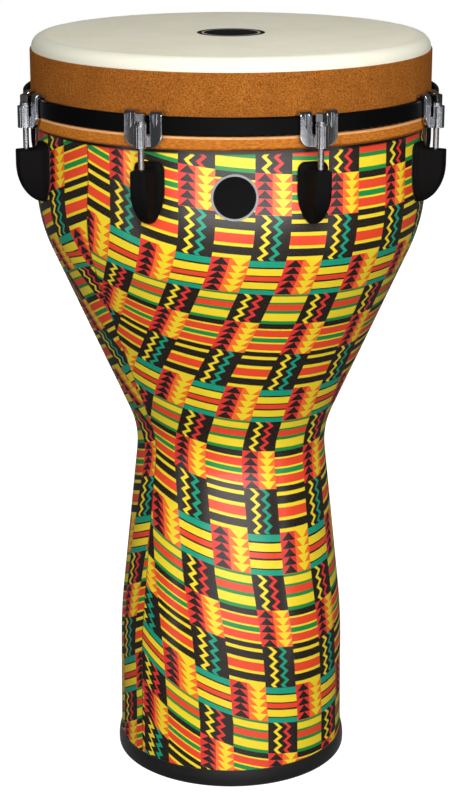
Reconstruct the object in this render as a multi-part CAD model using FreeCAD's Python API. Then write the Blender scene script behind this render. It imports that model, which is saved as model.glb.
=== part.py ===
import FreeCAD, Part
import math
import os

V = FreeCAD.Vector
os.makedirs("parts", exist_ok=True)

# ---------------------------------------------------------------- driving dimensions, mm
# The drum stands on its foot with +Z up, the badge looks along -Y,
# and the origin is the centre of the foot ring's flat underside.
# A DROP is measured down from the playing surface, or from the lug's top where its name says so.

HEAD_HEIGHT = 587.3          # playing surface above the floor

# outer surface of the wrapped shell: bowl and foot are straight cones blended by arcs
BOWL_RADIUS = 150.3
STRAIGHT_DROP = 113.5        # the straight wall starts to turn in here
SHOULDER_BLEND = 120.0
WAIST_RADIUS = 73.6          # where the two cones cross
WAIST_HEIGHT = 276.0
WAIST_BLEND = 70.0
FOOT_RADIUS = 90.3           # top of the foot's straight part
FOOT_STRAIGHT = 116.8
FOOT_BLEND = 420.0
RIM_RADIUS = 91.5            # at the floor
SHELL_WALL = 5.6
WRAP_THICKNESS = 0.4
WRAP_DROP = 17.5             # upper end of the printed skin

# bearing edge
EDGE_ROUNDING = 8.0          # wider than the wall, so the edge is thickened inwards
EDGE_FLAT = 1.4
EDGE_BEVEL = 7.0
HEAD_SEAT_GAP = 0.1          # film over the bearing edge at rest

# foot ring
FOOT_RING_HEIGHT = 13.8
RING_TOP_WALL = 1.3          # rubber outside the shell at the ring's top
RING_BULGE_WALL = 2.5
RING_BULGE_HEIGHT = 6.8
RING_FOOT_WALL = 2.3         # rubber outside the shell over the sole's rounded edge
RING_FOOT_ROUNDING = 1.8
RING_SOLE = 3.6              # rubber under the shell's rim
RING_LIP = 2.4               # inner lip's thickness
RING_LIP_HEIGHT = 9.0

# film and its cover
FILM_THICKNESS = 0.4
FILM_CLEARANCE = 1.1         # collar over the printed skin
FILM_SHOULDER = 9.0          # rounding at the rim of the playing surface
BAND_THICKNESS = 1.2
BAND_DROP = 10.1             # brown cover ends here, bare film above it
BAND_EDGE = 0.6
COLLAR_RISE = 1.5            # collar ends this far above the flesh hoop's lower face

# flesh hoop, its cover and the counter hoop
FLESH_HOOP_WIDTH = 3.2
FLESH_HOOP_HEIGHT = 7.9
FLESH_HOOP_ROUNDING = 1.1
HOOP_WRAP_THICKNESS = 1.3
HOOP_WRAP_GAP = 0.2          # counter hoop over the wrapped flesh hoop
HOOP_DROP = 53.6             # lower edge of the counter hoop
HOOP_HEIGHT = 13.4
HOOP_COLLAR_GAP = 2.6        # counter hoop outside the collar
HOOP_THICKNESS = 3.2
HOOP_ROUNDING = 1.3

# tuning sets: rod and washer
LUG_COUNT = 8
FIRST_LUG_ANGLE = 22.5       # degrees from the badge side
ROD_STANDOFF = 5.7           # rod's axis outside the counter hoop
ROD_DIAMETER = 4.5
ROD_POINT = 0.75             # chamfer at the rod's tip
ROD_ENGAGEMENT = 21.0        # rod's reach below the lug's top
RUNNING_GAP = 0.07           # radial clearance round a turning rod
ROD_FLANGE_DIAMETER = 7.8
ROD_FLANGE_HEIGHT = 1.6
KEY_SQUARE = 5.6             # across flats of the key head
KEY_HEIGHT = 6.3
KEY_CHAMFER = 0.7
KEY_TWIST = 33.0             # each rod stopped at another angle
ROD_WASHER_DIAMETER = 8.0
ROD_WASHER_THICKNESS = 0.8

# claw
CLAW_WIDTH = 29.0
CLAW_ARM = 9.0
CLAW_DROP = 62.2             # claw's lower edge
CLAW_THICKNESS = 2.9
CLAW_GAP = 0.35              # claw to counter hoop
CLAW_HOOK_HEIGHT = 3.35      # metal over the counter hoop's edge
CLAW_HOOK_TIP = 1.9          # thickness at the hook's inner end
CLAW_HOOK_CLEARANCE = 0.5    # hook's end to the brown cover
CLAW_HOOK_ROUNDING = 4.2
CLAW_SHOULDER_ROUNDING = 1.2
CLAW_NOSE_ROUNDINGS = (0.6, 0.3)          # upper and lower edge of the hook's end
CLAW_SEAT_ROUNDING = 0.9     # inside corner over the counter hoop
CLAW_FOOT_ROUNDING = 0.5
CLAW_CORNER = 8.5
CLAW_FORK_RISE = 7.9         # bottom of the gap between the arms, above the lower edge
CLAW_FORK_CORNER = 2.0
CLAW_BOSS_DIAMETER = 8.8
CLAW_BOSS_REACH = 1.5        # the boss is longer than it is wide, out past the rod
CLAW_BOSS_HEIGHT = 16.0
CLAW_WEB = 6.2
CLAW_FLUTE_RADIUS = 5.0
CLAW_FLUTE_DEPTH = 1.1
CLAW_FLUTE_LENGTH = 17.0
CLAW_EDGE = 0.45             # softened front edges

# lug
LUG_DROP = 78.5              # lug's top face
LUG_LENGTH = 40.5
LUG_FRONT = 6.9              # outer face outside the rod's axis
LUG_STRAIGHT = 10.5          # upright part of the outer face
LUG_FACE_WIDTH = 11.8
LUG_FLANGE_RISE = 4.5        # flange stands above the top face
LUG_FLANGE_WIDTH = 22.6
LUG_FLANGE_EDGE = 1.7
LUG_FLANGE_ROUNDING = 6.0
LUG_NECK_WIDTH = 15.0        # where the ridge grows out of the flange
LUG_NECK_STEP = 6.5          # neck stands this far off the shell
LUG_COVE_STEP = 3.38         # hollow between flange and neck
LUG_COVE_SPREAD = 0.33       # share of the flange's extra width and height left in the hollow
LUG_COVE_ROUNDING = 3.5
LUG_WAIST_DROP = 16.5        # below the lug's top the outline narrows
LUG_TIP_RISES = (0.0, 0.6, 1.2, 4.0)      # tip of flange, hollow, neck and face
LUG_TIP_ROUNDINGS = (5.0, 4.2, 3.6, 2.8)
LUG_ROUNDING = 1.1
GASKET_THICKNESS = 0.8

# what is inside the lug
NUT_DIAMETER = 6.8
NUT_DROP = 8.0               # nut's top below the lug's top
NUT_HEIGHT = 11.6
NUT_GAP = 0.1                # nut in its pocket
ROD_ENTRY_DIAMETER = 5.2     # hole in the lug's top
SCREW_DIAMETER = 4.0
SCREW_DROPS = (31.0, 3.6)    # below the lug's top
SCREW_REACH = 8.0            # thread length in the lug
SCREW_HEAD_DIAMETER = 7.6
SCREW_HEAD_HEIGHT = 2.8
SCREW_SLOT = (0.9, 4.4)      # width and length of each arm of the driver cross
SCREW_WASHER_DIAMETER = 10.0
SCREW_WASHER_THICKNESS = 1.0
SCREW_HOLE_GAP = 0.2

# badge
BADGE_ANGLE = 1.0
BADGE_DROP = 97.9            # badge's centre
BADGE_DIAMETER = 33.5
BADGE_RIM = 1.5
BADGE_GLUE = 0.05            # thickness of what it is stuck on with
BADGE_THICKNESS = 1.3
BADGE_RIM_THICKNESS = 1.7

# ---------------------------------------------------------------- derived sizes
STRAIGHT_END = HEAD_HEIGHT - STRAIGHT_DROP
# the bowl's cone runs from the waist's corner, tangent to the shoulder's arc
ARC_REACH = BOWL_RADIUS - SHOULDER_BLEND - WAIST_RADIUS
ARC_RISE = STRAIGHT_END - WAIST_HEIGHT
CONE_TILT = math.atan2(ARC_RISE, ARC_REACH) - math.asin(SHOULDER_BLEND / math.hypot(ARC_REACH, ARC_RISE))
SHOULDER_HEIGHT = WAIST_HEIGHT + (BOWL_RADIUS - WAIST_RADIUS) * math.tan(CONE_TILT)
SHELL_BOTTOM = RING_SOLE
SHELL_TOP = HEAD_HEIGHT - FILM_THICKNESS - HEAD_SEAT_GAP
WRAP_TOP = HEAD_HEIGHT - WRAP_DROP

FILM_RADIUS = BOWL_RADIUS + FILM_CLEARANCE + FILM_THICKNESS
COVER_RADIUS = FILM_RADIUS + BAND_THICKNESS
BAND_TOP = HEAD_HEIGHT - BAND_DROP
HOOP_INNER = COVER_RADIUS + HOOP_COLLAR_GAP
HOOP_OUTER = HOOP_INNER + HOOP_THICKNESS
HOOP_BOTTOM = HEAD_HEIGHT - HOOP_DROP
HOOP_TOP = HOOP_BOTTOM + HOOP_HEIGHT
FLESH_HOOP_TOP = HOOP_BOTTOM - HOOP_WRAP_GAP - HOOP_WRAP_THICKNESS
FLESH_HOOP_BOTTOM = FLESH_HOOP_TOP - FLESH_HOOP_HEIGHT
FLESH_HOOP_OUTER = COVER_RADIUS + FLESH_HOOP_WIDTH
COLLAR_BOTTOM = FLESH_HOOP_BOTTOM + COLLAR_RISE

ROD_CIRCLE = HOOP_OUTER + ROD_STANDOFF
ROD_BORE = ROD_DIAMETER / 2 + RUNNING_GAP
CLAW_INNER = HOOP_OUTER + CLAW_GAP
CLAW_OUTER = CLAW_INNER + CLAW_THICKNESS
CLAW_BOTTOM = HEAD_HEIGHT - CLAW_DROP
CLAW_TOP = HOOP_TOP + CLAW_GAP + CLAW_HOOK_HEIGHT
CLAW_HOOK_END = COVER_RADIUS + CLAW_HOOK_CLEARANCE
CLAW_FORK_BOTTOM = CLAW_BOTTOM + CLAW_FORK_RISE
CLAW_BOSS_TOP = CLAW_BOTTOM + CLAW_BOSS_HEIGHT
ROD_WASHER_BOTTOM = CLAW_BOSS_TOP
ROD_FLANGE_BOTTOM = ROD_WASHER_BOTTOM + ROD_WASHER_THICKNESS
KEY_BOTTOM = ROD_FLANGE_BOTTOM + ROD_FLANGE_HEIGHT

LUG_TOP = HEAD_HEIGHT - LUG_DROP
LUG_TIP = LUG_TOP - LUG_LENGTH
LUG_FLANGE_TOP = LUG_TOP + LUG_FLANGE_RISE
LUG_WAISTLINE = LUG_TOP - LUG_WAIST_DROP
LUG_BACK = BOWL_RADIUS + GASKET_THICKNESS
LUG_FACE = ROD_CIRCLE + LUG_FRONT
ROD_TIP = LUG_TOP - ROD_ENGAGEMENT
NUT_BOTTOM = LUG_TOP - NUT_DROP - NUT_HEIGHT
SCREW_HEIGHTS = [LUG_TOP - drop for drop in SCREW_DROPS]
BADGE_HEIGHT = HEAD_HEIGHT - BADGE_DROP
LUG_ANGLES = [FIRST_LUG_ANGLE + i * 360.0 / LUG_COUNT for i in range(LUG_COUNT)]

OUTWARD = V(0, -1, 0)        # at the front, where every tuning set is modelled
MARGIN = 5.0                 # cutters reach this far past what they cut

Z_AXIS = V(0, 0, 1)
ORIGIN = V(0, 0, 0)


# ---------------------------------------------------------------- small helpers
def save(name, shape):
    shape.exportStep("parts/" + name + ".step")


def group(shapes):
    return Part.makeCompound(shapes)


def placed(shape, angle):
    """A copy of a shape modelled at the front, turned to its angle round the drum."""
    copy = shape.copy()
    copy.rotate(ORIGIN, Z_AXIS, angle)
    return copy


def ring_face(edges):
    return Part.Face(Part.Wire(Part.__sortEdges__(edges)))


def revolve(face):
    return face.revolve(ORIGIN, Z_AXIS, 360)


def line(a, b):
    return Part.LineSegment(a, b).toShape()


def rz(radius, height):
    """A point of a section in the XZ plane."""
    return V(radius, 0, height)


def rounded_loop(corners):
    """Closed loop of lines with a tangent arc at each corner that has a radius.

    corners: list of (point, rounding)."""
    count = len(corners)
    starts, ends, arcs = [], [], []
    for i, (point, rounding) in enumerate(corners):
        before = (corners[i - 1][0] - point).normalize()
        after = (corners[(i + 1) % count][0] - point).normalize()
        if rounding <= 0:
            starts.append(point)
            ends.append(point)
            arcs.append(None)
            continue
        half = before.getAngle(after) / 2
        reach = rounding / math.tan(half)
        middle = (before + after).normalize()
        centre = point + middle * (rounding / math.sin(half))
        first = point + before * reach
        last = point + after * reach
        starts.append(first)
        ends.append(last)
        arcs.append(Part.Arc(first, centre - middle * rounding, last).toShape())
    edges = []
    for i in range(count):
        if arcs[i]:
            edges.append(arcs[i])
        a, b = ends[i], starts[(i + 1) % count]
        if (b - a).Length > 1e-6:
            edges.append(line(a, b))
    return Part.Wire(edges)


def loop_face(corners):
    return Part.Face(rounded_loop(corners))


def screw_bores(radius, start, length):
    """Cutters or shanks along both lug screws, from a distance off the drum's axis outward."""
    return [Part.makeCylinder(radius, length, V(0, -start, height), OUTWARD)
            for height in SCREW_HEIGHTS]


# ---------------------------------------------------------------- the shell's outline
def shell_corners(offset):
    """Corners (radius, height, blend) of the outline, moved out by offset."""
    points = [(RIM_RADIUS, 0.0), (FOOT_RADIUS, FOOT_STRAIGHT), (WAIST_RADIUS, WAIST_HEIGHT),
              (BOWL_RADIUS, SHOULDER_HEIGHT), (BOWL_RADIUS, HEAD_HEIGHT)]
    # the foot bulges outward, the waist inward and the shoulder outward
    blends = [0.0, FOOT_BLEND + offset, WAIST_BLEND - offset, SHOULDER_BLEND + offset, 0.0]
    slopes = [(points[i + 1][0] - points[i][0]) / (points[i + 1][1] - points[i][1])
              for i in range(4)]
    shifts = [offset * math.sqrt(1 + s * s) for s in slopes]
    moved = [(points[0][0] + shifts[0], 0.0, 0.0)]
    for i in range(1, 4):
        # crossing of the two moved lines that meet at corner i
        r, z = points[i]
        dz = (shifts[i] - shifts[i - 1]) / (slopes[i - 1] - slopes[i])
        moved.append((r + shifts[i - 1] + slopes[i - 1] * dz, z + dz, blends[i]))
    moved.append((points[4][0] + shifts[3], HEAD_HEIGHT, 0.0))
    return moved


def shell_path(offset, low, high):
    """Edges of the outline at an offset, from height low up to height high."""
    corners = shell_corners(offset)
    foot, top = corners[0], corners[-1]
    slope = (corners[1][0] - foot[0]) / corners[1][1]
    points = [rz(foot[0] + slope * low, low)]
    points += [rz(c[0], c[1]) for c in corners[1:-1]] + [rz(top[0], high)]
    edges, at = [], points[0]
    for i in range(1, len(points) - 1):
        corner, blend = points[i], corners[i][2]
        before = (points[i - 1] - corner).normalize()
        after = (points[i + 1] - corner).normalize()
        half = before.getAngle(after) / 2
        reach = blend / math.tan(half)
        middle = (before + after).normalize()
        apex = corner + middle * (blend / math.sin(half) - blend)
        first, last = corner + before * reach, corner + after * reach
        edges += [line(at, first), Part.Arc(first, apex, last).toShape()]
        at = last
    edges.append(line(at, points[-1]))
    return edges, points[0], points[-1]


def foot_radius(height, offset):
    """Radius of the outline's straight foot at a height."""
    corners = shell_corners(offset)
    return corners[0][0] + (corners[1][0] - corners[0][0]) * height / corners[1][1]


def shell_layer(inner, outer, low, high):
    """Solid of revolution between two offsets of the outline."""
    edges_out, low_out, high_out = shell_path(outer, low, high)
    edges_in, low_in, high_in = shell_path(inner, low, high)
    edges = edges_out + [line(high_out, high_in)] + edges_in + [line(low_in, low_out)]
    return revolve(ring_face(edges))


# ---------------------------------------------------------------- shell, skin and foot
def screw_cutters():
    """Screw holes of every lug, through shell and skin."""
    hole = SCREW_DIAMETER / 2 + SCREW_HOLE_GAP
    start = BOWL_RADIUS - 2 * SHELL_WALL
    return [placed(bore, angle) for angle in LUG_ANGLES
            for bore in screw_bores(hole, start, LUG_BACK + MARGIN - start)]


def make_shell():
    outer, inner = -WRAP_THICKNESS, -WRAP_THICKNESS - SHELL_WALL
    edges_out, low_out, _ = shell_path(outer, SHELL_BOTTOM, SHELL_TOP - EDGE_ROUNDING)
    edges_in, low_in, _ = shell_path(inner, SHELL_BOTTOM, SHELL_TOP - EDGE_BEVEL)
    r_out, r_in = BOWL_RADIUS + outer, BOWL_RADIUS + inner
    start = rz(r_out, SHELL_TOP - EDGE_ROUNDING)
    crown = rz(r_out - EDGE_ROUNDING, SHELL_TOP)
    diagonal = EDGE_ROUNDING * (1 - math.sqrt(0.5))
    on_arc = rz(r_out - diagonal, SHELL_TOP - diagonal)
    flat_end = rz(r_out - EDGE_ROUNDING - EDGE_FLAT, SHELL_TOP)
    bevel_end = rz(r_in, SHELL_TOP - EDGE_BEVEL)
    edges = edges_out + [Part.Arc(start, on_arc, crown).toShape(), line(crown, flat_end),
                         line(flat_end, bevel_end)]
    edges += edges_in + [line(low_in, low_out)]
    return revolve(ring_face(edges)).cut(screw_cutters())


def make_wrap():
    skin = shell_layer(-WRAP_THICKNESS, 0.0, FOOT_RING_HEIGHT, WRAP_TOP)
    return skin.cut(screw_cutters())


def make_foot_ring():
    """Rubber channel that the shell's lower rim stands in."""
    bare, inside = -WRAP_THICKNESS, -WRAP_THICKNESS - SHELL_WALL
    out_top = rz(foot_radius(FOOT_RING_HEIGHT, bare), FOOT_RING_HEIGHT)
    out_low = rz(foot_radius(SHELL_BOTTOM, bare), SHELL_BOTTOM)
    in_low = rz(foot_radius(SHELL_BOTTOM, inside), SHELL_BOTTOM)
    in_top = rz(foot_radius(RING_LIP_HEIGHT, inside), RING_LIP_HEIGHT)
    lip_top = rz(in_top.x - RING_LIP, RING_LIP_HEIGHT)
    lip_low = rz(in_top.x - RING_LIP, RING_LIP)
    sole_in = rz(in_top.x, 0)
    side_low = rz(foot_radius(0, bare) + RING_FOOT_WALL, RING_FOOT_ROUNDING)
    sole_out = rz(side_low.x - RING_FOOT_ROUNDING, 0)
    half_round = RING_FOOT_ROUNDING * (1 - math.sqrt(0.5))
    round_middle = rz(side_low.x - half_round, half_round)
    bulge = rz(foot_radius(RING_BULGE_HEIGHT, bare) + RING_BULGE_WALL, RING_BULGE_HEIGHT)
    shoulder = rz(out_top.x + RING_TOP_WALL, FOOT_RING_HEIGHT)
    curl = rz(in_top.x - RING_LIP * math.sqrt(0.5), RING_LIP * (1 - math.sqrt(0.5)))
    edges = [line(out_top, out_low), line(out_low, in_low), line(in_low, in_top),
             line(in_top, lip_top), line(lip_top, lip_low),
             Part.Arc(lip_low, curl, sole_in).toShape(), line(sole_in, sole_out),
             Part.Arc(sole_out, round_middle, side_low).toShape(),
             Part.Arc(side_low, bulge, shoulder).toShape(), line(shoulder, out_top)]
    return revolve(ring_face(edges))


# ---------------------------------------------------------------- badge
def round_patch(diameter, hole_diameter, height):
    """Round plate that follows the bowl and stands a height off its surface."""
    low = V(0, 0, BADGE_HEIGHT - BADGE_DIAMETER)
    seat = BOWL_RADIUS + BADGE_GLUE
    sleeve = Part.makeCylinder(seat + height, 2 * BADGE_DIAMETER, low)
    sleeve = sleeve.cut(Part.makeCylinder(seat, 2 * BADGE_DIAMETER, low))
    start = V(0, -BOWL_RADIUS + BADGE_DIAMETER / 2, BADGE_HEIGHT)
    plug = Part.makeCylinder(diameter / 2, BADGE_DIAMETER, start, OUTWARD)
    if hole_diameter:
        plug = plug.cut(Part.makeCylinder(hole_diameter / 2, BADGE_DIAMETER, start, OUTWARD))
    return placed(sleeve.common(plug), BADGE_ANGLE)


def make_badge_plate():
    return round_patch(BADGE_DIAMETER - 2 * BADGE_RIM, 0, BADGE_THICKNESS)


def make_badge_ring():
    return round_patch(BADGE_DIAMETER, BADGE_DIAMETER - 2 * BADGE_RIM, BADGE_RIM_THICKNESS)


# ---------------------------------------------------------------- head
def make_film():
    """Flat film with a rounded shoulder and a short collar."""
    top, wall = HEAD_HEIGHT, FILM_THICKNESS
    outer, inner = FILM_RADIUS, FILM_RADIUS - wall
    soft = FILM_SHOULDER
    corners = [(rz(0, top), 0), (rz(outer, top), soft), (rz(outer, COLLAR_BOTTOM), 0),
               (rz(inner, COLLAR_BOTTOM), 0), (rz(inner, top - wall), soft - wall),
               (rz(0, top - wall), 0)]
    return revolve(loop_face(corners))


def make_collar_band():
    corners = [(rz(FILM_RADIUS, COLLAR_BOTTOM), 0), (rz(COVER_RADIUS, COLLAR_BOTTOM), 0),
               (rz(COVER_RADIUS, BAND_TOP), BAND_EDGE), (rz(FILM_RADIUS, BAND_TOP), 0)]
    return revolve(loop_face(corners))


def flesh_hoop_section():
    soft = FLESH_HOOP_ROUNDING
    return [(rz(COVER_RADIUS, FLESH_HOOP_BOTTOM), 0), (rz(FLESH_HOOP_OUTER, FLESH_HOOP_BOTTOM), soft),
            (rz(FLESH_HOOP_OUTER, FLESH_HOOP_TOP), soft), (rz(COVER_RADIUS, FLESH_HOOP_TOP), 0)]


def make_flesh_hoop():
    return revolve(loop_face(flesh_hoop_section()))


def make_hoop_wrap():
    """Cover rolled over the flesh hoop, open towards the collar."""
    skin = HOOP_WRAP_THICKNESS
    inner, outer = COVER_RADIUS, FLESH_HOOP_OUTER + skin
    low, top = FLESH_HOOP_BOTTOM - skin, FLESH_HOOP_TOP + skin
    soft = FLESH_HOOP_ROUNDING + skin
    outside = [(rz(inner, low), 0), (rz(outer, low), soft), (rz(outer, top), soft), (rz(inner, top), 0)]
    return revolve(loop_face(outside + flesh_hoop_section()[::-1]))


def make_counter_hoop():
    soft = HOOP_ROUNDING
    corners = [(rz(HOOP_INNER, HOOP_BOTTOM), soft), (rz(HOOP_OUTER, HOOP_BOTTOM), soft),
               (rz(HOOP_OUTER, HOOP_TOP), soft), (rz(HOOP_INNER, HOOP_TOP), soft)]
    return revolve(loop_face(corners))


# ---------------------------------------------------------------- claw
def claw_side():
    """Swept side section of plate and hooks, curved with the counter hoop."""
    seat = HOOP_TOP + CLAW_GAP
    nose_top, nose_low = CLAW_NOSE_ROUNDINGS
    corners = [(rz(CLAW_INNER, CLAW_BOTTOM), CLAW_FOOT_ROUNDING),
               (rz(CLAW_OUTER, CLAW_BOTTOM), CLAW_FOOT_ROUNDING),
               (rz(CLAW_OUTER, CLAW_TOP), CLAW_HOOK_ROUNDING),
               (rz(HOOP_INNER, CLAW_TOP), CLAW_SHOULDER_ROUNDING),
               (rz(CLAW_HOOK_END, seat + CLAW_HOOK_TIP), nose_top),
               (rz(CLAW_HOOK_END, seat), nose_low), (rz(CLAW_INNER, seat), CLAW_SEAT_ROUNDING)]
    section = loop_face(corners)
    spread = math.degrees(math.asin((CLAW_WIDTH / 2 + MARGIN) / CLAW_INNER))
    section.rotate(ORIGIN, Z_AXIS, -90 - spread)
    return section.revolve(ORIGIN, Z_AXIS, 2 * spread)


def claw_outline():
    """Front view of the claw: two arms on a plate with rounded lower corners."""
    half, gap = CLAW_WIDTH / 2, CLAW_WIDTH / 2 - CLAW_ARM
    over = CLAW_TOP + MARGIN
    corners = [(V(-half, 0, CLAW_BOTTOM), CLAW_CORNER), (V(half, 0, CLAW_BOTTOM), CLAW_CORNER),
               (V(half, 0, over), 0), (V(gap, 0, over), 0),
               (V(gap, 0, CLAW_FORK_BOTTOM), CLAW_FORK_CORNER),
               (V(-gap, 0, CLAW_FORK_BOTTOM), CLAW_FORK_CORNER), (V(-gap, 0, over), 0),
               (V(-half, 0, over), 0)]
    return loop_face(corners).extrude(OUTWARD * (CLAW_OUTER + MARGIN))


def claw_flutes():
    """Shallow flutes that fade out down the two arms."""
    middle = CLAW_WIDTH / 2 - CLAW_ARM / 2
    lean = math.atan2(CLAW_FLUTE_DEPTH, CLAW_FLUTE_LENGTH)
    flutes = []
    for side in (-1, 1):
        foot = V(side * middle, -CLAW_OUTER - CLAW_FLUTE_RADIUS, CLAW_TOP - CLAW_FLUTE_LENGTH)
        flutes.append(Part.makeCylinder(CLAW_FLUTE_RADIUS, CLAW_FLUTE_LENGTH + 2 * MARGIN, foot,
                                        V(0, math.sin(lean), math.cos(lean))))
    return flutes


def on_outer_skin(point):
    """Whether a point lies on the claw's outer face, hook rounding or top."""
    radius, slack = math.hypot(point.x, point.y), CLAW_GAP / 10
    knee_radius, knee_height = CLAW_OUTER - CLAW_HOOK_ROUNDING, CLAW_TOP - CLAW_HOOK_ROUNDING
    if radius > knee_radius and point.z > knee_height:
        turn = math.hypot(radius - knee_radius, point.z - knee_height)
        return abs(turn - CLAW_HOOK_ROUNDING) < slack
    return abs(radius - CLAW_OUTER) < slack or abs(point.z - CLAW_TOP) < slack


def soften_claw(body):
    """Rounds the edges between the outline's sides and the outer skin."""
    rim = [e for e in body.Edges if not isinstance(e.Curve, Part.Circle)
           and all(on_outer_skin(p) for p in e.discretize(7))]
    return body.makeFillet(CLAW_EDGE, rim)


def make_claw():
    body = soften_claw(claw_side().common(claw_outline()).Solids[0])
    axis = V(0, -ROD_CIRCLE, CLAW_BOTTOM)
    radius, nose = CLAW_BOSS_DIAMETER / 2, ROD_CIRCLE + CLAW_BOSS_REACH
    boss = Part.makeCylinder(radius, CLAW_BOSS_HEIGHT, axis, Z_AXIS).fuse(
        [Part.makeCylinder(radius, CLAW_BOSS_HEIGHT, V(0, -nose, CLAW_BOTTOM), Z_AXIS),
         Part.makeBox(2 * radius, CLAW_BOSS_REACH, CLAW_BOSS_HEIGHT, V(-radius, -nose, CLAW_BOTTOM))])
    middle = (CLAW_INNER + CLAW_OUTER) / 2
    web = Part.makeBox(CLAW_WEB, ROD_CIRCLE - middle, CLAW_FORK_RISE,
                       V(-CLAW_WEB / 2, -ROD_CIRCLE, CLAW_BOTTOM))
    boss = boss.cut(Part.makeCylinder(middle, CLAW_BOSS_HEIGHT, V(0, 0, CLAW_BOTTOM)))
    claw = body.fuse([boss, web]).cut(claw_flutes())
    bore = Part.makeCylinder(ROD_BORE, CLAW_BOSS_HEIGHT, axis, Z_AXIS)
    return claw.cut(bore).removeSplitter()


# ---------------------------------------------------------------- tension rod and washer
def make_rod(twist):
    tip, neck = V(0, -ROD_CIRCLE, ROD_TIP), V(0, -ROD_CIRCLE, ROD_FLANGE_BOTTOM)
    radius = ROD_DIAMETER / 2
    shank = Part.makeCylinder(radius, ROD_FLANGE_BOTTOM - ROD_TIP - ROD_POINT,
                              tip + Z_AXIS * ROD_POINT, Z_AXIS)
    point = Part.makeCone(radius - ROD_POINT, radius, ROD_POINT, tip, Z_AXIS)
    flange = Part.makeCylinder(ROD_FLANGE_DIAMETER / 2, ROD_FLANGE_HEIGHT, neck, Z_AXIS)
    half = KEY_SQUARE / 2
    key = Part.makeBox(KEY_SQUARE, KEY_SQUARE, KEY_HEIGHT, V(-half, -ROD_CIRCLE - half, KEY_BOTTOM))
    top_edges = [e for e in key.Edges if e.BoundBox.ZMin > KEY_BOTTOM + KEY_HEIGHT / 2]
    key = key.makeChamfer(KEY_CHAMFER, top_edges)
    key.rotate(tip, Z_AXIS, twist)
    return shank.fuse([point, flange, key]).removeSplitter()


def make_rod_washer():
    centre = V(0, -ROD_CIRCLE, ROD_WASHER_BOTTOM)
    washer = Part.makeCylinder(ROD_WASHER_DIAMETER / 2, ROD_WASHER_THICKNESS, centre, Z_AXIS)
    return washer.cut(Part.makeCylinder(ROD_BORE, ROD_WASHER_THICKNESS, centre, Z_AXIS))


# ---------------------------------------------------------------- lug, nut, gasket, screws
def shield(radius, width, top, corner, tip, tip_rounding):
    """Front outline at a radius: straight sides, a rounded top and a tapered, rounded tip."""
    half, start = width / 2, LUG_WAISTLINE
    y = -radius
    low = tip + tip_rounding
    # large side arc that leaves the side at LUG_WAISTLINE and runs into the tip's arc
    drop = start - low
    side = (half * half + drop * drop - tip_rounding * tip_rounding) / (2 * (half - tip_rounding))
    centre_x = half - side
    turn = math.atan2(drop, -centre_x)
    mid = turn / 2
    meet = (centre_x + side * math.cos(turn), start - side * math.sin(turn))
    halfway = (centre_x + side * math.cos(mid), start - side * math.sin(mid))
    c45 = corner * (1 - math.sqrt(0.5))

    def at(x, z):
        return V(x, y, z)

    edges = [line(at(-half + corner, top), at(half - corner, top)),
             Part.Arc(at(half - corner, top), at(half - c45, top - c45), at(half, top - corner)).toShape(),
             line(at(half, top - corner), at(half, start)),
             Part.Arc(at(half, start), at(*halfway), at(*meet)).toShape(),
             Part.Arc(at(*meet), at(0, tip), at(-meet[0], meet[1])).toShape(),
             Part.Arc(at(-meet[0], meet[1]), at(-halfway[0], halfway[1]), at(-half, start)).toShape(),
             line(at(-half, start), at(-half, top - corner)),
             Part.Arc(at(-half, top - corner), at(-half + c45, top - c45),
                      at(-half + corner, top)).toShape()]
    return Part.Wire(edges)


def flange_outline(radius):
    return shield(radius, LUG_FLANGE_WIDTH, LUG_FLANGE_TOP, LUG_FLANGE_ROUNDING,
                  LUG_TIP + LUG_TIP_RISES[0], LUG_TIP_ROUNDINGS[0])


def lug_side():
    """Side view of the lug: upright face, then a quarter ellipse in to the tip."""
    knee = LUG_TOP - LUG_STRAIGHT
    ellipse = Part.Ellipse(V(0, -LUG_BACK, LUG_TIP), V(0, -LUG_FACE, knee), V(0, -LUG_BACK, knee))
    inside = V(0, -LUG_BACK + LUG_FLANGE_WIDTH / 2, LUG_TIP)
    top = LUG_FLANGE_TOP + MARGIN
    edges = [Part.ArcOfEllipse(ellipse, 0, math.pi / 2).toShape(),
             line(V(0, -LUG_FACE, knee), V(0, -LUG_FACE, top)),
             line(V(0, -LUG_FACE, top), V(0, inside.y, top)),
             line(V(0, inside.y, top), inside), line(inside, V(0, -LUG_BACK, LUG_TIP))]
    face = ring_face(edges)
    face.translate(V(-LUG_FLANGE_WIDTH, 0, 0))
    return face.extrude(V(2 * LUG_FLANGE_WIDTH, 0, 0))


def nut_pocket():
    """Slot for the barrel nut, open to the back of the lug."""
    radius = NUT_DIAMETER / 2 + NUT_GAP
    low, height = NUT_BOTTOM - NUT_GAP, NUT_HEIGHT + 2 * NUT_GAP
    bore = Part.makeCylinder(radius, height, V(0, -ROD_CIRCLE, low), Z_AXIS)
    slot = Part.makeBox(2 * radius, ROD_CIRCLE - LUG_BACK + MARGIN, height, V(-radius, -ROD_CIRCLE, low))
    return bore.fuse(slot)


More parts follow.
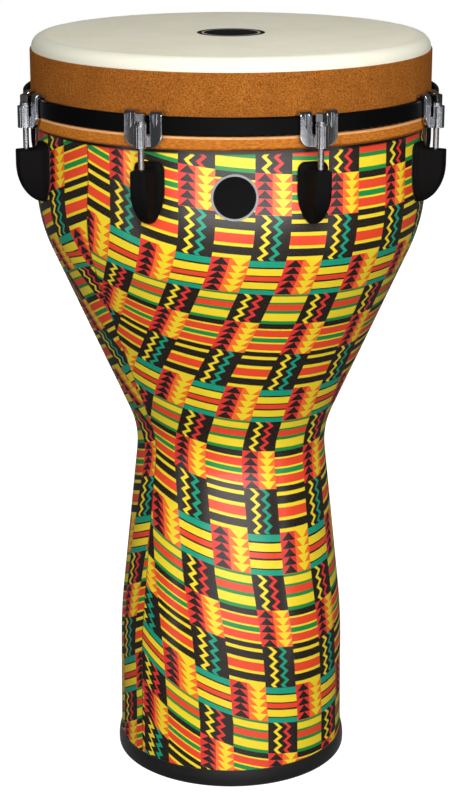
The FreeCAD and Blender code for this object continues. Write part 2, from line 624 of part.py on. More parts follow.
def lug_sections():
    """Outlines of the lug from behind the shell's surface out to its face."""
    neck, cove = LUG_BACK + LUG_NECK_STEP, LUG_BACK + LUG_COVE_STEP
    cove_width = LUG_NECK_WIDTH + LUG_COVE_SPREAD * (LUG_FLANGE_WIDTH - LUG_NECK_WIDTH)
    cove_top = LUG_TOP + LUG_COVE_SPREAD * LUG_FLANGE_RISE
    tips = [LUG_TIP + rise for rise in LUG_TIP_RISES]
    soft = LUG_TIP_ROUNDINGS
    return [flange_outline(LUG_BACK - MARGIN), flange_outline(LUG_BACK + LUG_FLANGE_EDGE),
            shield(cove, cove_width, cove_top, LUG_COVE_ROUNDING, tips[1], soft[1]),
            shield(neck, LUG_NECK_WIDTH, LUG_TOP, LUG_ROUNDING, tips[2], soft[2]),
            shield(LUG_FACE, LUG_FACE_WIDTH, LUG_TOP, LUG_ROUNDING, tips[3], soft[3])]


def make_lug():
    body = Part.makeLoft(lug_sections(), True, True).common(lug_side())
    ridge = (LUG_BACK + LUG_NECK_STEP + LUG_FACE) / 2
    rim = [e for e in body.Edges if -e.CenterOfMass.y > ridge - MARGIN / 2 and e.Length > 4 * LUG_ROUNDING]
    body = body.makeFillet(LUG_ROUNDING, rim)
    low = V(0, 0, LUG_TIP - MARGIN)
    entry = V(0, -ROD_CIRCLE, ROD_TIP - NUT_GAP)
    cutters = [Part.makeCylinder(LUG_BACK, LUG_LENGTH + LUG_FLANGE_RISE + 2 * MARGIN, low), nut_pocket(),
               Part.makeCylinder(ROD_ENTRY_DIAMETER / 2, ROD_ENGAGEMENT + MARGIN, entry, Z_AXIS)]
    cutters += screw_bores(SCREW_DIAMETER / 2, BOWL_RADIUS, LUG_BACK + SCREW_REACH - BOWL_RADIUS)
    return body.cut(cutters)


def make_nut():
    centre = V(0, -ROD_CIRCLE, NUT_BOTTOM)
    nut = Part.makeCylinder(NUT_DIAMETER / 2, NUT_HEIGHT, centre, Z_AXIS)
    return nut.cut(Part.makeCylinder(ROD_BORE, NUT_HEIGHT, centre, Z_AXIS))


def make_gasket():
    """Pad between lug and shell, as thick as their gap."""
    length = LUG_LENGTH + LUG_FLANGE_RISE + 2 * MARGIN
    low = V(0, 0, LUG_TIP - MARGIN)
    pad = Part.makeCylinder(LUG_BACK, length, low)
    pad = pad.cut([shell_layer(-SHELL_WALL, 0, SHELL_BOTTOM, SHELL_TOP),
                   Part.makeCylinder(BOWL_RADIUS - SHELL_WALL / 2, length, low)])
    outline = Part.Face(flange_outline(LUG_FACE)).extrude(OUTWARD * (BOWL_RADIUS / 2 - LUG_FACE))
    holes = screw_bores(SCREW_DIAMETER / 2 + SCREW_HOLE_GAP, BOWL_RADIUS - MARGIN, 2 * MARGIN)
    return pad.common(outline).cut(holes)


def screw_seat():
    """Distance from the axis at which a flat washer meets the curved inner wall."""
    inner = BOWL_RADIUS - WRAP_THICKNESS - SHELL_WALL
    return math.sqrt(inner ** 2 - (SCREW_WASHER_DIAMETER / 2) ** 2)


def make_screw(height):
    """Pan-head screw from inside the bowl into the lug."""
    seat = screw_seat() - SCREW_WASHER_THICKNESS
    top = V(0, -seat + SCREW_HEAD_HEIGHT, height)
    shank = Part.makeCylinder(SCREW_DIAMETER / 2, LUG_BACK + SCREW_REACH - seat,
                              V(0, -seat, height), OUTWARD)
    head = Part.makeCylinder(SCREW_HEAD_DIAMETER / 2, SCREW_HEAD_HEIGHT, top, OUTWARD)
    crown = [e for e in head.Edges if e.BoundBox.YMin > top.y - SCREW_HEAD_HEIGHT / 2]
    head = head.makeFillet(SCREW_HEAD_HEIGHT / 2, crown)
    depth = SCREW_HEAD_HEIGHT / 2
    slots = [Part.makeBox(a, depth, b, V(-a / 2, top.y - depth, height - b / 2))
             for a, b in (SCREW_SLOT, SCREW_SLOT[::-1])]
    return shank.fuse(head).cut(slots)


def make_screw_washer(height):
    face = V(0, -screw_seat() + SCREW_WASHER_THICKNESS, height)
    disc = Part.makeCylinder(SCREW_WASHER_DIAMETER / 2, SCREW_WASHER_THICKNESS, face, OUTWARD)
    hole = Part.makeCylinder(SCREW_DIAMETER / 2 + SCREW_HOLE_GAP, SCREW_WASHER_THICKNESS, face, OUTWARD)
    return disc.cut(hole)


# ---------------------------------------------------------------- write every sub-part
save("shell", make_shell())
save("printed_wrap", make_wrap())
save("foot_ring", make_foot_ring())
save("badge_plate", make_badge_plate())
save("badge_ring", make_badge_ring())
save("drumhead_film", make_film())
save("collar_band", make_collar_band())
save("flesh_hoop", make_flesh_hoop())
save("hoop_wrap", make_hoop_wrap())
save("counter_hoop", make_counter_hoop())

claw, lug = make_claw(), make_lug()
for number, angle in enumerate(LUG_ANGLES, start=1):
    save("claw_%d" % number, placed(claw, angle))
    save("lug_%d" % number, placed(lug, angle))
    save("tension_rod_%d" % number, placed(make_rod(number * KEY_TWIST), angle))

nut, gasket, rod_washer = make_nut(), make_gasket(), make_rod_washer()
screws = [make_screw(height) for height in SCREW_HEIGHTS]
washers = [make_screw_washer(height) for height in SCREW_HEIGHTS]
save("lug_nuts", group([placed(nut, a) for a in LUG_ANGLES]))
save("lug_gaskets", group([placed(gasket, a) for a in LUG_ANGLES]))
save("rod_washers", group([placed(rod_washer, a) for a in LUG_ANGLES]))
save("lug_screws", group([placed(s, a) for a in LUG_ANGLES for s in screws]))
save("lug_washers", group([placed(w, a) for a in LUG_ANGLES for w in washers]))
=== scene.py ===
"""Finish, studio and camera for the djembe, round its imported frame. Metres, +Z up, front at -Y."""
import math
import bpy
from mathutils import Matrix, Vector


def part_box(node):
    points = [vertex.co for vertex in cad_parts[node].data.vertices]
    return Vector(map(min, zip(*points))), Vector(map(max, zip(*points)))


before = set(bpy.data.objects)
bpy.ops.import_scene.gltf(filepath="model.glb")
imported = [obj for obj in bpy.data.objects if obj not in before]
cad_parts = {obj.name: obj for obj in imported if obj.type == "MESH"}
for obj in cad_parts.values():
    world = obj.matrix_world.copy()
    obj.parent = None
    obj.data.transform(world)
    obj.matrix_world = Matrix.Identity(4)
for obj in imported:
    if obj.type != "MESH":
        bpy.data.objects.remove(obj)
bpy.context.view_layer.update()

MM = 0.001                 # a millimetre in metres, for shader inputs that are lengths
TO_MM = 1000.0             # from the frame's metres to the patterns' millimetres

# ---------------------------------------------------------------- colours, as sRGB 0-255

YELLOW = (252, 222, 42)
GREEN = (16, 142, 64)
TEAL = (0, 160, 126)
RED = (230, 52, 48)
ORANGE_RED = (240, 72, 38)
ORANGE = (252, 118, 38)
CLOTH_BLACK = (30, 22, 15)
CLOTH_FADE = (150, 125, 100)
# painted shadow: black for the cloth's top, where the edging shades it
PAINTED_SHADOW_BLACK = (8, 6, 6)
PLAYED_WHITE = (250, 244, 224)
PLAYED_STAIN = (243, 236, 212)
PLAYED_SPRAY = (228, 220, 196)
# painted shade: the shoulder's white is darker than the flat's, to offset the stronger light it gets
SHOULDER_SHADED_WHITE = (226, 222, 204)
PRINT_BLACK = (26, 25, 24)
PRINT_GREY = (176, 172, 158)
SUEDE = (156, 92, 30)
SUEDE_DARK = (104, 56, 14)
SUEDE_LIGHT = (182, 118, 48)
EDGING = (184, 108, 30)
EDGING_DARK = (152, 84, 20)
EDGING_LIGHT = (206, 130, 44)
# painted highlight: pale line along the top of the edging
EDGING_PAINTED_HIGHLIGHT = (240, 184, 128)
RESIN = (26, 24, 22)
GLASS_FIBRE = (66, 60, 52)
FLOOR = (138, 138, 138)
FLOOR_CLOUD = (134, 134, 134)
FLOOR_GLOW = (253, 253, 253)


def linear(colour):
    """The scene-linear colour of an sRGB one, with full alpha."""
    parts = [c / 255 for c in colour]
    return [c / 12.92 if c <= 0.04045 else ((c + 0.055) / 1.055) ** 2.4 for c in parts] + [1.0]


# ---------------------------------------------------------------- fields: node arithmetic


def feed(tree, value, socket):
    """Links a field to a socket, or sets the socket to a plain value."""
    if isinstance(value, Field):
        tree.links.new(value.socket, socket)
    else:
        socket.default_value = value


class Field:
    """A value that varies over a surface. Arithmetic on fields adds nodes to their material."""

    def __init__(self, tree, socket):
        self.tree = tree
        self.socket = socket

    def op(self, operation, *others):
        """A Math node's result for this field and the other values."""
        node = self.tree.nodes.new("ShaderNodeMath")
        node.operation = operation
        for place, value in enumerate((self,) + others):
            feed(self.tree, value, node.inputs[place])
        return Field(self.tree, node.outputs[0])

    def __add__(self, other):
        return self.op("ADD", other)

    def __sub__(self, other):
        return self.op("SUBTRACT", other)

    def __mul__(self, other):
        return self.op("MULTIPLY", other)

    def __truediv__(self, other):
        return self.op("DIVIDE", other)

    def __neg__(self):
        return self.op("MULTIPLY", -1.0)

    def size(self):
        return self.op("ABSOLUTE")

    def root(self):
        return self.op("SQRT")

    def fraction(self):
        return self.op("FRACT")

    def larger(self, other):
        return self.op("MAXIMUM", other)

    def under(self, other):
        """1 where this field is below the other, and 0 elsewhere."""
        return self.op("LESS_THAN", other)

    def over(self, other):
        """1 where this field is above the other, and 0 elsewhere."""
        return self.op("GREATER_THAN", other)

    def between(self, low, high):
        """1 between two values of this field, and 0 elsewhere."""
        return self.over(low) * self.under(high)

    def wrapped(self, low, high):
        """The same field brought into a range by whole turns of it."""
        return self.op("WRAP", high, low)

    def ramp(self, low, high, start=0.0, end=1.0, smooth=False):
        """Goes from start to end as this field goes from low to high, and stays there past them."""
        node = self.tree.nodes.new("ShaderNodeMapRange")
        node.interpolation_type = "SMOOTHSTEP" if smooth else "LINEAR"
        for name, value in (
            ("Value", self), ("From Min", low), ("From Max", high), ("To Min", start), ("To Max", end)
        ):
            feed(self.tree, value, node.inputs[name])
        return Field(self.tree, node.outputs["Result"])


def span_of(bands, number):
    """Where a band of (colour, width) starts and ends, as shares of all the bands together."""
    total = sum(width for _, width in bands)
    start = sum(width for _, width in bands[:number])
    return start / total, (start + bands[number][1]) / total


class Finish:
    """One material: its node tree, its shader, and the coordinates its pattern is drawn in."""

    def __init__(self, name, **settings):
        self.material = bpy.data.materials.new(name)
        self.material.use_nodes = True
        self.tree = self.material.node_tree
        self.shader = self.tree.nodes["Principled BSDF"]
        for socket, value in settings.items():
            self.shader.inputs[socket.replace("_", " ")].default_value = value
        place = self.tree.nodes.new("ShaderNodeTexCoord")
        self.place = Field(self.tree, place.outputs["Object"])
        apart = self.tree.nodes.new("ShaderNodeSeparateXYZ")
        feed(self.tree, self.place, apart.inputs[0])
        self.x, self.y, self.z = (Field(self.tree, apart.outputs[i]) * TO_MM for i in range(3))

    def radius(self):
        """Distance from the drum's axis, in millimetres."""
        return (self.x * self.x + self.y * self.y).root()

    def angle(self):
        """Angle about the drum's axis in degrees: 0 at the front, rising to the right."""
        return self.x.op("ARCTAN2", -self.y) * math.degrees(1.0)

    def flat_place(self, x, y):
        """A place on a flat pattern, for noise to be drawn in."""
        node = self.tree.nodes.new("ShaderNodeCombineXYZ")
        feed(self.tree, x, node.inputs[0])
        feed(self.tree, y, node.inputs[1])
        return Field(self.tree, node.outputs[0])

    def noise(self, scale, detail=2.0, roughness=0.5, at=None, stretch=(1, 1, 1)):
        """Smooth noise from 0 to 1, with so many features to the metre, or to the unit of a given place."""
        spread = self.tree.nodes.new("ShaderNodeMapping")
        spread.inputs["Scale"].default_value = stretch
        feed(self.tree, at or self.place, spread.inputs["Vector"])
        node = self.tree.nodes.new("ShaderNodeTexNoise")
        node.inputs["Scale"].default_value = scale
        node.inputs["Detail"].default_value = detail
        node.inputs["Roughness"].default_value = roughness
        self.tree.links.new(spread.outputs[0], node.inputs["Vector"])
        return Field(self.tree, node.outputs["Fac"])

    def mixed(self, share, first, second):
        """The first colour, turning into the second as share goes from 0 to 1."""
        node = self.tree.nodes.new("ShaderNodeMix")
        node.data_type = "RGBA"
        feed(self.tree, share, node.inputs[0])
        for socket, colour in ((6, first), (7, second)):
            feed(self.tree, colour if isinstance(colour, Field) else linear(colour), node.inputs[socket])
        return Field(self.tree, node.outputs[2])

    def stripes(self, along, bands):
        """Hard-edged bands (colour, width) laid one after another along a field from 0 to 1."""
        node = self.tree.nodes.new("ShaderNodeValToRGB")
        node.color_ramp.interpolation = "CONSTANT"
        elements = node.color_ramp.elements
        for number, (colour, _) in enumerate(bands):
            start, _ = span_of(bands, number)
            if number < 2:
                element = elements[number]
                element.position = start
            else:
                element = elements.new(start)
            element.color = linear(colour)
        feed(self.tree, along, node.inputs[0])
        return Field(self.tree, node.outputs[0])

    def colour(self, value):
        feed(self.tree, value, self.shader.inputs["Base Color"])

    def roughness(self, value):
        feed(self.tree, value, self.shader.inputs["Roughness"])

    def relief(self, height, depth, strength, rounding=0.0):
        """Bump of a height field from 0 to 1 whose full depth is given in metres.

        A rounding, in metres, lets sharp edges catch the light as worn ones do."""
        node = self.tree.nodes.new("ShaderNodeBump")
        node.inputs["Strength"].default_value = strength
        node.inputs["Distance"].default_value = depth
        feed(self.tree, height, node.inputs["Height"])
        if rounding:
            edge = self.tree.nodes.new("ShaderNodeBevel")
            edge.samples = 6
            edge.inputs["Radius"].default_value = rounding
            self.tree.links.new(edge.outputs[0], node.inputs["Normal"])
        self.tree.links.new(node.outputs[0], self.shader.inputs["Normal"])


def dress(finish, *nodes):
    """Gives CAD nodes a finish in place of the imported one."""
    for name in nodes:
        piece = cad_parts[name]
        if not piece.material_slots:
            piece.data.materials.append(finish.material)
        for material_slot in piece.material_slots:
            material_slot.material = finish.material


# ---------------------------------------------------------------- the printed cloth

# The cloth is two panels, at the front and at the back. Rows run round the drum and columns
# run down it. A slope holds two heights and a value at each, and stays level past them.
CLOTH_DATUM = 5.2                           # the layout's heights count from this far under the floor, mm
SKIN_SLOPE = (285.0, 452.0, 0.5, 15.5)      # how much longer the skin is than it is high, mm
SEAM_SLOPE = (250.0, 500.0, -52.0, -43.4)   # angle of the seam at the left of the front panel
CENTRE_SLOPE = (60.0, 180.0, 53.7, 48.5)    # angle of the front panel's centre
WAIST_HEIGHT = 335.0       # where the cloth is pulled to the left round the waist, mm,
WAIST_REACH = 42.0         # over about so much above it and below it,
WAIST_PULL = 3.0           # by so many degrees
BACK_TURN = 163.0          # angle from the front panel's centre to the back panel's
BACK_DROP = 22.0           # how much lower the back panel's rows start, mm

COLUMN_PITCH = 55.0        # width of one pair of columns, mm
BLOCK_SHARE = 0.485        # the part of the pitch that is the column of zigzags
ROWS_START = 553.5         # height along the skin where the pattern's count starts, mm
ROWS_PITCH = 124.8         # height along the skin of one repeat, mm
SWEEP_AT_FLOOR = 6.6       # one column from its centre a row has risen by so many mm at the floor,
SWEEP_HEIGHT = 195.0       # less the square of its height over this one, mm,
SWEEP_LEAST = 1.15         # and by so much at least
FLARE_START = 3.1          # past so many columns from its centre a panel's rows rise faster,
FLARE_SLOPE = 9.0          # by so many mm to the column,
FLARE_SOFTNESS = 0.1       # from a gentle start
ROW_WAVE = 3.0             # the cloth is stretched unevenly by so much, mm,
ROW_WAVE_LENGTH = 400.0    # over this length,
ROW_WAVE_PHASE = 3.06      # with its wave begun at this angle, radians
SEAM_DARKNESS = 0.55       # how dark the seam's line is,
SEAM_LINE = (0.3, 0.9)     # and over which distance from it that fades out, mm
SEAM_FOLD = 1.2            # half width of the groove that it makes, mm

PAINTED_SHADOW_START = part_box("hoop_wrap")[0][2] * TO_MM - 2.6     # above this the skin is painted black, as the shadow under the edging, mm
PAINTED_SHADOW_BLUR = 1.5

SAW_ROWS = 5               # rows of triangles in their band
ZIGZAG_PERIOD = 8.2        # height of one zig and zag, mm
# across a column, in shares of its width:
SAW_TURN = 0.47            # where the ground of the triangles turns from red to orange
DARK_SAW = 0.26            # middle of a dark triangle,
DARK_SAW_FOOT = 0.22       # and half its width at its foot
LIGHT_SAW = 0.76           # middle of a yellow triangle,
LIGHT_SAW_TOP = 0.235      # half its width at its top,
LIGHT_SAW_NARROWING = 0.21     # and by how much that is less at its point
ZIGZAG_MIDDLES = (0.31, 0.63)
ZIGZAG_SWING = 0.085       # how far a zigzag goes to either side of its middle
ZIGZAG_HALF_WIDTH = 0.064

# stripes down one repeat, mm, from the top of the red zigzags, and which of them hold a pattern
BLOCK_BANDS = (
    (CLOTH_BLACK, 28.0), (ORANGE_RED, 30.0), (CLOTH_BLACK, 35.0), (TEAL, 5.4), (CLOTH_BLACK, 1.5),
    (YELLOW, 6.6), (CLOTH_BLACK, 1.0), (ORANGE_RED, 4.4), (CLOTH_BLACK, 1.3), (YELLOW, 6.4),
    (CLOTH_BLACK, 1.0), (TEAL, 4.6),
)
RED_ZIGZAG_BAND, BLOCK_SAW_BAND, TEAL_ZIGZAG_BAND = 0, 1, 2
STRIPE_BANDS = (
    (GREEN, 1.0), (YELLOW, 5.9), (GREEN, 2.3), (ORANGE_RED, 5.4), (GREEN, 2.9), (YELLOW, 7.4),
    (GREEN, 3.0), (CLOTH_BLACK, 5.0), (YELLOW, 1.5), (ORANGE_RED, 6.0), (YELLOW, 1.5),
    (GREEN, 3.9), (YELLOW, 1.5), (ORANGE_RED, 6.3), (YELLOW, 2.1), (CLOTH_BLACK, 4.1),
    (YELLOW, 3.0), (CLOTH_BLACK, 6.1), (YELLOW, 3.0), (ORANGE_RED, 7.5), (YELLOW, 2.3),
    (CLOTH_BLACK, 6.3), (YELLOW, 3.3), (ORANGE_RED, 32.0), (GREEN, 0.9),
)
STRIPE_SAW_BAND = 23


def row_rise(across, skin):
    """How much higher a row runs away from its panel's centre, in mm."""
    height = skin / SWEEP_HEIGHT
    sweep = (-height * height + SWEEP_AT_FLOOR).larger(SWEEP_LEAST)
    beyond = across.size() - FLARE_START
    flare = ((beyond * beyond + FLARE_SOFTNESS).root() + beyond) * (FLARE_SLOPE / 2)
    return across * across * sweep + flare


def cloth_place(cloth):
    """The cloth's own coordinates: columns across and repeats down, of whichever panel it is,
    and how far the nearer of its two seams is, in mm."""
    angle = cloth.angle()
    height = cloth.z + CLOTH_DATUM
    round_drum = cloth.radius() * math.radians(1.0)     # mm round the drum to the degree
    seam = height.ramp(*SEAM_SLOPE)
    behind = (angle - seam).wrapped(0.0, 360.0).over(180.0)
    from_waist = (height - WAIST_HEIGHT) / WAIST_REACH
    pull = (-(from_waist * from_waist)).op("EXPONENT") * WAIST_PULL
    centre = height.ramp(*CENTRE_SLOPE) - pull
    turn = (angle - centre - behind * BACK_TURN).wrapped(-180.0, 180.0)
    across = round_drum * turn / COLUMN_PITCH
    skin = height + height.ramp(*SKIN_SLOPE)
    level = skin - row_rise(across, skin) + behind * BACK_DROP
    wave = (level * (2 * math.pi / ROW_WAVE_LENGTH) + ROW_WAVE_PHASE).op("SINE") * ROW_WAVE
    down = -(level - ROWS_START - wave) / ROWS_PITCH
    seam_gap = (angle - seam).wrapped(-90.0, 90.0).size() * round_drum
    return across, down, seam_gap


def saw_rows(cloth, under, across, down, span):
    """Rows of triangles: dark ones pointing up on the left, yellow ones pointing down on the right."""
    start, end = span
    row = ((down - start) * (SAW_ROWS / (end - start))).fraction()
    ground = cloth.mixed(across.over(SAW_TURN), RED, ORANGE)
    dark = (across - DARK_SAW).size().under(row * DARK_SAW_FOOT)
    light = (across - LIGHT_SAW).size().under(-(row * LIGHT_SAW_NARROWING) + LIGHT_SAW_TOP)
    rows = cloth.mixed(light, cloth.mixed(dark, ground, CLOTH_BLACK), YELLOW)
    return cloth.mixed(down.between(start, end), under, rows)


def zigzags(cloth, under, across, down, span, second):
    """A yellow zigzag and one of a second colour, side by side down the dark blocks."""
    start, end = span
    inside = down.between(start, end)
    swing = ((down - start) * (ROWS_PITCH / ZIGZAG_PERIOD)).op("PINGPONG", 0.5)
    swing = swing * (4 * ZIGZAG_SWING) - ZIGZAG_SWING
    for middle, colour in zip(ZIGZAG_MIDDLES, (YELLOW, second)):
        line = (across - swing - middle).size().under(ZIGZAG_HALF_WIDTH)
        under = cloth.mixed(line * inside, under, colour)
    return under


def printed(cloth, across, down):
    """The whole pattern: a column of zigzags beside a column of stripes, over and over."""
    column = across.fraction()
    repeat = down.fraction()
    block = column / BLOCK_SHARE
    stripe = (column - BLOCK_SHARE) / (1 - BLOCK_SHARE)

    blocks = cloth.stripes(repeat, BLOCK_BANDS)
    blocks = zigzags(cloth, blocks, block, repeat, span_of(BLOCK_BANDS, RED_ZIGZAG_BAND), RED)
    blocks = saw_rows(cloth, blocks, block, repeat, span_of(BLOCK_BANDS, BLOCK_SAW_BAND))
    blocks = zigzags(cloth, blocks, block, repeat, span_of(BLOCK_BANDS, TEAL_ZIGZAG_BAND), TEAL)
    stripes = cloth.stripes(repeat, STRIPE_BANDS)
    stripes = saw_rows(cloth, stripes, stripe, repeat, span_of(STRIPE_BANDS, STRIPE_SAW_BAND))
    return cloth.mixed(column.over(BLOCK_SHARE), blocks, stripes)


def make_cloth():
    """The wax-print skin, laminated round the shell, with a painted shadow along its top under the edging.
    """
    cloth = Finish("printed_cloth", Specular_IOR_Level=0.1, Coat_Weight=0.9, Coat_Roughness=0.26,
                   Coat_IOR=1.7)
    across, down, seam_gap = cloth_place(cloth)
    weave = cloth.flat_place(across * COLUMN_PITCH, down * ROWS_PITCH)
    threads = cloth.noise(1.6, detail=2.0, roughness=0.6, at=weave, stretch=(1.0, 0.35, 1.0))
    tone = cloth.mixed(threads.ramp(0.35, 0.75, 0.0, 0.05), printed(cloth, across, down), CLOTH_FADE)
    tone = cloth.mixed(seam_gap.ramp(*SEAM_LINE, SEAM_DARKNESS, 0.0), tone, CLOTH_BLACK)
    # painted shadow: the cloth's top under the edging is painted black
    in_painted_shadow = cloth.z.ramp(PAINTED_SHADOW_START - PAINTED_SHADOW_BLUR, PAINTED_SHADOW_START, smooth=True)
    cloth.colour(cloth.mixed(in_painted_shadow, tone, PAINTED_SHADOW_BLACK))
    cloth.roughness(threads.ramp(0.3, 0.7, 0.46, 0.58))
    cloth.relief(threads * 0.4 + seam_gap.ramp(0.0, SEAM_FOLD, 1.0, 0.0), 0.25 * MM, 0.5)
    return cloth


# ---------------------------------------------------------------- head and its suede cover

SHOULDER = (139.0, 146.0)      # radii between which the head's white turns into its shoulder's, mm
PRINT_RADIUS = 26.0            # the dark spot printed in the middle of the head, mm
PRINT_RING = (20.8, 22.36)     # inner and outer radius of the pale ring in it, mm
STREAKS_ALONG = 0.28           # streaks of the stretched edging to the mm along it,
STREAKS_ACROSS = 0.7           # and across it
PAINTED_HIGHLIGHT_DROP = 1.2              # how far under the edging's top its painted highlight runs, mm
PAINTED_HIGHLIGHT_FADE = (0.4, 1.1)            # the painted highlight fades out over this distance from it, mm
PAINTED_FOOT_SHADE = (0.6, 2.2)              # painted shade at the edging's foot fades out over this height, mm


def make_film():
    """Coated white film: finely sprayed, a little darker where it is played, with a plain dark spot."""
    film = Finish("coated_film", Roughness=0.8, Specular_IOR_Level=0.04, Subsurface_Weight=0.08,
                  Subsurface_Scale=2 * MM)
    radius = film.radius()
    spray = film.noise(900.0, detail=3.0, roughness=0.7)
    stain = film.noise(18.0, detail=4.0, roughness=0.6)
    tone = film.mixed(stain.ramp(0.3, 0.7), PLAYED_WHITE, PLAYED_STAIN)
    tone = film.mixed(spray.ramp(0.35, 0.65, 0.0, 0.25), tone, PLAYED_SPRAY)
    # painted shade: the shoulder is painted a darker white against the stronger light on it
    tone = film.mixed(radius.ramp(*SHOULDER, smooth=True), tone, SHOULDER_SHADED_WHITE)
    tone = film.mixed(radius.under(PRINT_RADIUS), tone, PRINT_BLACK)
    film.colour(film.mixed(radius.between(*PRINT_RING), tone, PRINT_GREY))
    film.relief(spray, 0.05 * MM, 0.35)
    return film


def make_suede():
    """Speckled brown synthetic suede of the cover round the head's collar."""
    suede = Finish("speckled_suede", Roughness=0.9, Specular_IOR_Level=0.12)
    speckle = suede.noise(980.0, detail=2.0, roughness=0.8)
    cloudy = suede.noise(45.0, detail=3.0, roughness=0.6)
    tone = suede.mixed(speckle.ramp(0.36, 0.52), SUEDE_DARK, SUEDE)
    tone = suede.mixed(speckle.ramp(0.54, 0.72), tone, SUEDE_LIGHT)
    suede.colour(suede.mixed(cloudy.ramp(0.35, 0.7, 0.0, 0.3), tone, SUEDE_DARK))
    suede.relief(speckle, 0.35 * MM, 0.6)
    return suede


def make_edging():
    """The same cover stretched over the flesh hoop: streaked along it, with a painted highlight along its
    top and painted shade at its foot.
    """
    edging = Finish("stretched_edging", Roughness=0.75, Specular_IOR_Level=0.2)
    low, high = (corner[2] * TO_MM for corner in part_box("hoop_wrap"))
    along = edging.angle() * edging.radius() * math.radians(1.0)
    stretched = edging.flat_place(along * STREAKS_ALONG, edging.z * STREAKS_ACROSS)
    streak = edging.noise(1.0, detail=3.0, roughness=0.65, at=stretched)
    fleck = edging.noise(700.0, detail=2.0, roughness=0.7)
    # painted highlight: a pale line just under the edging's top
    painted_highlight = (edging.z - (high - PAINTED_HIGHLIGHT_DROP)).size().ramp(*PAINTED_HIGHLIGHT_FADE, 0.75, 0.0)
    # painted shade: darker towards the edging's foot
    painted_foot_shade = (edging.z - low).ramp(*PAINTED_FOOT_SHADE, 0.8, 0.0)
    tone = edging.mixed(streak.ramp(0.36, 0.5), EDGING_DARK, EDGING)
    tone = edging.mixed(streak.ramp(0.54, 0.68), tone, EDGING_LIGHT)
    tone = edging.mixed(fleck.ramp(0.5, 0.7, 0.0, 0.35), tone, EDGING_DARK)
    tone = edging.mixed(painted_highlight, tone, EDGING_PAINTED_HIGHLIGHT)
    edging.colour(edging.mixed(painted_foot_shade, tone, EDGING_DARK))
    edging.relief(streak, 0.4 * MM, 0.6)
    return edging


# ---------------------------------------------------------------- metal, plastic and rubber

DULL_SHARE = 0.86          # brightness of the streaks in a metal's polish


def make_metal(name, tint, roughness, grain=300.0, rounding=0.0):
    """Plated metal with faint streaks in its polish."""
    metal = Finish(name, Metallic=1.0)
    streak = metal.noise(grain, detail=3.0, roughness=0.6)
    dull = tuple(c * DULL_SHARE for c in tint)
    metal.colour(metal.mixed(streak.ramp(0.35, 0.7, 0.0, 0.25), tint, dull))
    metal.roughness(streak.ramp(0.3, 0.7, roughness, roughness + 0.05))
    metal.relief(streak, 0.01 * MM, 0.04, rounding)
    return metal


def make_moulded(name, tint, worn, roughness, grain=240.0, rounding=0.0, **settings):
    """Dark moulded or painted surface: fine grain, uneven gloss, lighter where it is rubbed."""
    skin = Finish(name, **settings)
    grains = skin.noise(grain, detail=4.0, roughness=0.65)
    rubbed = skin.noise(22.0, detail=4.0, roughness=0.6)
    skin.colour(skin.mixed(rubbed.ramp(0.5, 0.8, 0.0, 0.6), tint, worn))
    skin.roughness(rubbed.ramp(0.3, 0.75, roughness, roughness + 0.12))
    skin.relief(grains, 0.03 * MM, 0.4, rounding)
    return skin


def make_composite():
    """Bare inside of the shell: dark resin over glass fibre."""
    resin = Finish("fibre_composite", Roughness=0.5, Coat_Weight=0.2, Coat_Roughness=0.35)
    strands = resin.noise(90.0, detail=5.0, roughness=0.75, stretch=(1.0, 1.0, 0.25))
    crossing = resin.noise(90.0, detail=5.0, roughness=0.75, stretch=(0.3, 0.3, 1.6))
    fibres = (strands * crossing).ramp(0.16, 0.42)
    resin.colour(resin.mixed(fibres, RESIN, GLASS_FIBRE))
    resin.relief(fibres, 0.4 * MM, 0.5)
    return resin


# ---------------------------------------------------------------- dressing


def all_eight(name):
    """The names of a piece that each of the eight lugs has."""
    return [f"{name}_{i}" for i in range(1, 9)]


dress(make_cloth(), "printed_wrap")
dress(make_composite(), "shell")
dress(make_film(), "drumhead_film")
dress(make_suede(), "collar_band")
dress(make_edging(), "hoop_wrap")
dress(make_moulded("foot_rubber", tint=(18, 17, 17), worn=(26, 25, 24), roughness=0.45, grain=400.0,
                   Specular_IOR_Level=0.3, Sheen_Weight=0.12, Sheen_Roughness=0.5), "foot_ring")
dress(make_moulded("badge_enamel", tint=(12, 12, 13), worn=(16, 16, 18), roughness=0.16,
                   Specular_IOR_Level=0.03), "badge_plate")
dress(make_metal("badge_silver", tint=(150, 151, 154), roughness=0.3, grain=60.0), "badge_ring")
dress(make_moulded("hoop_paint", tint=(8, 8, 8), worn=(12, 12, 12), roughness=0.3,
                   Specular_IOR_Level=0.05), "counter_hoop")
dress(make_moulded("lug_paint", tint=(15, 14, 14), worn=(21, 20, 19), roughness=0.6,
                   rounding=3.5 * MM, Specular_IOR_Level=0.05), *all_eight("lug"))
dress(make_metal("chrome", tint=(196, 198, 203), roughness=0.1, rounding=0.7 * MM), *all_eight("claw"))
dress(make_metal("rod_chrome", tint=(164, 165, 168), roughness=0.22, rounding=0.3 * MM),
      *all_eight("tension_rod"))
dress(make_metal("ring_metal", tint=(178, 176, 172), roughness=0.35), "flesh_hoop")
dress(make_moulded("gasket_rubber", tint=(22, 21, 20), worn=(40, 38, 36), roughness=0.7), "lug_gaskets")
dress(make_metal("fastener_steel", tint=(168, 168, 166), roughness=0.3),
      "rod_washers", "lug_nuts", "lug_screws", "lug_washers")

# ---------------------------------------------------------------- studio

STUDIO = 14.0                  # from the drum to the studio's walls, and their height, m
ROOM_LIGHT = 0.06              # strength of the surroundings,
GLOW_STRENGTH = 0.35           # and of the glow over them,
GLOW_TOWARDS = (0.12, -1.0, -0.3)
GLOW_EDGE = 0.7                # which ends at the angle from its middle with this cosine
DRUM_MIDDLE = (0, 0, 0.3)
BOWL_FRONT = (0, -0.15, 0.47)
BOWL_BACK = (0, 0.15, 0.47)

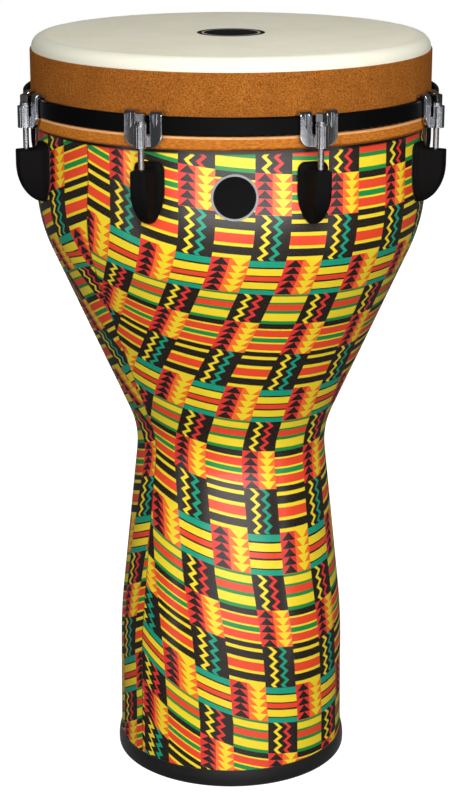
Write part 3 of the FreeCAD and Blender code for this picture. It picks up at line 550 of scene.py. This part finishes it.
CAMERA_PLACE = (0.0, -1.591, 0.7734)
CAMERA_DIP = 16.73             # how far it looks down, degrees
CAMERA_LENS = 93.285           # mm, on a sensor of this width
SENSOR_WIDTH = 36.0


def make_paper(name, corners, faces, shadow):
    """Pale studio paper that gives no light to the drum."""
    mesh = bpy.data.meshes.new(name)
    mesh.from_pydata(corners, [], faces)
    sheet = bpy.data.objects.new(name, mesh)
    bpy.context.scene.collection.objects.link(sheet)
    paper = Finish(name, Roughness=0.9, Emission_Color=linear(FLOOR_GLOW), Emission_Strength=1.0)
    paper.colour(paper.mixed(paper.noise(6.0).ramp(0.3, 0.7), FLOOR, FLOOR_CLOUD))
    mesh.materials.append(paper.material)
    sheet.visible_diffuse = False
    sheet.visible_glossy = False
    sheet.visible_shadow = shadow


def make_room():
    """A wide floor, with a paper wall round it for low views."""
    square = [(-STUDIO, -STUDIO), (STUDIO, -STUDIO), (STUDIO, STUDIO), (-STUDIO, STUDIO)]
    low = [(x, y, 0) for x, y in square]
    high = [(x, y, STUDIO) for x, y in square]
    sides = [(i, (i + 1) % 4, (i + 1) % 4 + 4, i + 4) for i in range(4)]
    make_paper("studio_floor", low, [(0, 1, 2, 3)], shadow=True)
    make_paper("studio_wall", low + high, sides, shadow=False)


def make_world():
    """Dim surroundings with a soft glow low in front, as from a lit studio floor."""
    world = bpy.data.worlds.new("studio")
    world.use_nodes = True
    bpy.context.scene.world = world
    tree = world.node_tree
    background = tree.nodes["Background"]
    background.inputs["Color"].default_value = (1, 1, 1, 1)
    direction = tree.nodes.new("ShaderNodeTexCoord")
    along = tree.nodes.new("ShaderNodeVectorMath")
    along.operation = "DOT_PRODUCT"
    along.inputs[1].default_value = Vector(GLOW_TOWARDS).normalized()
    tree.links.new(direction.outputs["Generated"], along.inputs[0])
    glow = Field(tree, along.outputs["Value"]).ramp(GLOW_EDGE, 1.0, 0.0, GLOW_STRENGTH, smooth=True)
    feed(tree, glow + ROOM_LIGHT, background.inputs["Strength"])


def softbox(name, place, aim, size, watts, diffuse=True, glossy=True):
    """A rectangular soft light that looks at a point, with its width and height in metres."""
    lamp = bpy.data.lights.new(name, "AREA")
    lamp.shape = "RECTANGLE"
    lamp.size, lamp.size_y = size
    lamp.energy = watts
    light = bpy.data.objects.new(name, lamp)
    light.location = place
    light.rotation_euler = (Vector(aim) - Vector(place)).to_track_quat("-Z", "Y").to_euler()
    light.visible_diffuse = diffuse
    light.visible_glossy = glossy
    bpy.context.scene.collection.objects.link(light)


def make_camera():
    """The photograph's viewing angle, and its framing of the drum."""
    data = bpy.data.cameras.new("camera")
    data.lens = CAMERA_LENS
    data.sensor_width = SENSOR_WIDTH
    camera = bpy.data.objects.new("camera", data)
    camera.location = CAMERA_PLACE
    camera.rotation_euler = (math.radians(90.0 - CAMERA_DIP), 0.0, 0.0)
    bpy.context.scene.collection.objects.link(camera)
    bpy.context.scene.camera = camera


make_room()
make_world()
softbox("key_mid", (0.25, -2.15, 1.25), DRUM_MIDDLE, size=(0.9, 0.9), watts=36)
softbox("key_left", (-1.35, -1.75, 1.1), DRUM_MIDDLE, size=(0.9, 1.1), watts=19, glossy=False)
softbox("key_right", (1.35, -1.75, 1.1), DRUM_MIDDLE, size=(0.9, 1.1), watts=13, glossy=False)
softbox("crown_box", (0.2, -0.42, 0.98), (0, -0.05, 0.58), size=(0.3, 0.25), watts=1.15, glossy=False)
softbox("haze_box", (0.15, -1.68, 0.1), BOWL_FRONT, size=(2.2, 0.17), watts=5.2, diffuse=False)
softbox("back_haze", (-0.1, 1.75, 0.1), BOWL_BACK, size=(0.7, 0.4), watts=3, diffuse=False)
for side_name, side in (("left", -1), ("right", 1)):
    softbox(f"{side_name}_strip", (side * 1.7, -1.0, 0.2), (0, 0, 0.4), size=(0.2, 1.6), watts=1.6,
            diffuse=False)
softbox("back_box", (-0.6, 1.9, 0.85), DRUM_MIDDLE, size=(1.6, 0.9), watts=24, glossy=False)
make_camera()
bpy.context.scene.view_settings.view_transform = "Standard"
